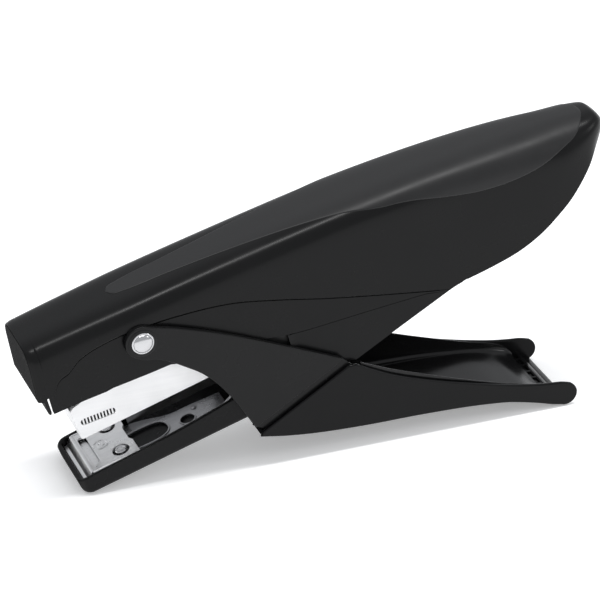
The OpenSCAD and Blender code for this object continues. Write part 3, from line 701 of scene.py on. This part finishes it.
piece("anvil_rivet_heads",
      [boss(jaw, 15.3, s * 6.8, [(1.2, BASE), (1.2, ANVIL - 1.2), (1.75, ANVIL - 1.1), (1.8, ANVIL + 0.1),
                                 (1.6, ANVIL + 0.38), (1.1, ANVIL + 0.45), (0.95, ANVIL + 0.3),
                                 (0.05, ANVIL + 0.28)], 28) for s in (-1, 1)],
      rivet_chrome, "jaw", ["anvil_rivets"])

# ---- Magazine drawer ---------------------------------------------------------------

MAG_H, DRAWER_W, DRAWER_T, MAG_TOP = 14.8, 7.75, 0.8, 29.0
wall_outline = ([(6.4, MAG_H)] + [(6.1, MAG_H + 0.3), (6, MAG_H + 0.9), (6, 25), (7, 26), (20, MAG_TOP),
                (78, MAG_TOP), (80, MAG_TOP - 2), (80, MAG_H + 3), (76, MAG_H)])


def on_window(points):
    """Places points of the ribbed window's own frame on the drawer's wall."""
    c, t = cos(radians(-5.9)), sin(radians(-5.9))
    return [(12.95 + x * c - y * t, 19.65 + x * t + y * c) for x, y in points]


window = on_window(slot_outline(-5.35, 5.35, -1, 1, 0.95))
window_ribs = [on_window(slot_outline(x - 0.24, x + 0.24, -1.05, 1.05, 0.1))
               for x in np.linspace(-4.5, 4.5, 10)]
window_shade_outline = on_window(slot_outline(-6, 6, -1.6, 1.6, 0.3))
piece("drawer_channel",
      [side_plate(magazine, [wall_outline, window], -DRAWER_W, DRAWER_T - DRAWER_W, 0.12),
       side_plate(magazine, [wall_outline, window], DRAWER_W - DRAWER_T, DRAWER_W, 0.12),
       lying_plate(magazine, [slot_outline(6.4, 76, -7.6, 7.6, 0.3),
                              slot_outline(7.4, 9.0, -6.6, 6.6, 0.3)], MAG_H, MAG_H + 0.8, 0.12)]
      + [side_plate(magazine, [rib], s * (DRAWER_W - 0.35) - 0.2, s * (DRAWER_W - 0.35) + 0.2, 0.08)
         for rib in window_ribs for s in (-1, 1)]
      + [bar(magazine, [(u, MAG_H + 0.2 + lift), (u + 0.2, MAG_H + lift), (u + 0.36, MAG_H + 0.3 + lift),
                        (u + 0.36, 24.6), (u, 24.6)], half)
         for u, lift, half in ((6.0, 0.1, 7.3), (6.5, 0.5, 7.2), (6.98, 1.0, 6.9))],
      drawer_steel, "drawer", ["magazine_drawer"])
# a black sheet behind the ribbed window, standing in for the shade inside the drawer: painted shade
piece("window_shade_sheet",
      [side_plate(magazine, [window_shade_outline], s * 6.8 - 0.12, s * 6.8 + 0.12, 0.03) for s in (-1, 1)],
      frame_black, "drawer")

# ---- Carried-over CAD nodes: better materials -----------------------------------------

finish = {
    "inner_frame": frame_black, "head_front_plate": cheek_black, "driver_blade": staple_steel,
    "driver_block": arm_steel, "block_screws": arm_steel, "pivot_spacers": arm_steel,
    "rear_hinge_pin": arm_steel, "cover_screws": arm_steel, "magazine_carrier": arm_steel,
    "pusher_rod": spring_steel, "staple_pusher": arm_steel, "pusher_spring": spring_steel,
    "magazine_spring": spring_steel, "staple_rail": arm_steel, "staple_strip": staple_steel,
    "base_rivets": rivet_chrome, "jaw_arm_left": arm_steel, "jaw_arm_right": arm_steel,
    "lift_pin": arm_steel, "handle_spacers": arm_steel, "liner_screws": arm_steel,
    "return_spring": spring_steel,
}
for name, material in finish.items():
    ob = frame["nodes"][name]
    if not ob.material_slots:
        ob.data.materials.append(material)
    for slot in ob.material_slots:
        slot.material = material

# ---- Stage, light and camera ------------------------------------------------------------


def stage_floor():
    mesh = bpy.data.meshes.new("floor")
    bm = bmesh.new()
    bmesh.ops.create_grid(bm, x_segments=40, y_segments=40, size=4)
    for v in bm.verts:
        v.co.z = -0.0004
    bm.to_mesh(mesh)
    bm.free()
    ob = bpy.data.objects.new("floor", mesh)
    bpy.context.scene.collection.objects.link(ob)
    mat, nodes, links, shader, where = new_material("paper_floor")
    cloud = noise(nodes, links, where, 40)
    links.new(blend_colours(nodes, links, cloud, (0.93, 0.93, 0.93), (0.95, 0.95, 0.95)),
              shader.inputs["Base Color"])
    shader.inputs["Roughness"].default_value = 0.9
    shader.inputs["Specular IOR Level"].default_value = 0.1
    shader.inputs["Emission Color"].default_value = (1, 1, 1, 1)
    shader.inputs["Emission Strength"].default_value = 0.3
    mesh.materials.append(mat)


def soft_light(name, at, aim, size, power):
    data = bpy.data.lights.new(name, "AREA")
    data.shape, data.size, data.size_y = "RECTANGLE", size[0], size[1]
    data.energy = power
    ob = bpy.data.objects.new(name, data)
    ob.location = at
    ob.rotation_euler = (Vector(aim) - Vector(at)).to_track_quat("-Z", "Y").to_euler()
    bpy.context.scene.collection.objects.link(ob)
    return ob


stage_floor()
soft_light("overhead", (0.0, -0.05, 1.1), (0, 0, 0), (1.0, 0.14), 8)
soft_light("tail_side", (0.9, -0.5, 0.6), (0.05, 0, 0.04), (0.3, 0.3), 1.2)
bpy.context.scene.view_settings.view_transform = "Standard"
world = bpy.data.worlds.new("studio")
world.use_nodes = True
world.node_tree.nodes["Background"].inputs["Color"].default_value = (0.95, 0.97, 1, 1)
world.node_tree.nodes["Background"].inputs["Strength"].default_value = 0.62
bpy.context.scene.world = world

AIM = Vector((-3.7, 0, 44.23)) * MM
AZIMUTH, ELEVATION, DISTANCE = radians(21.308), radians(28), 0.88235
back = Vector((-sin(AZIMUTH) * cos(ELEVATION), -cos(AZIMUTH) * cos(ELEVATION), sin(ELEVATION)))
lens = bpy.data.cameras.new("camera")
lens.lens, lens.sensor_width, lens.clip_start = 180, 36, 0.01
camera = bpy.data.objects.new("camera", lens)
camera.location = AIM + back * DISTANCE
camera.rotation_euler = (-back).to_track_quat("-Z", "Y").to_euler()
bpy.context.scene.collection.objects.link(camera)
bpy.context.scene.camera = camera

bpy.context.view_layer.update()
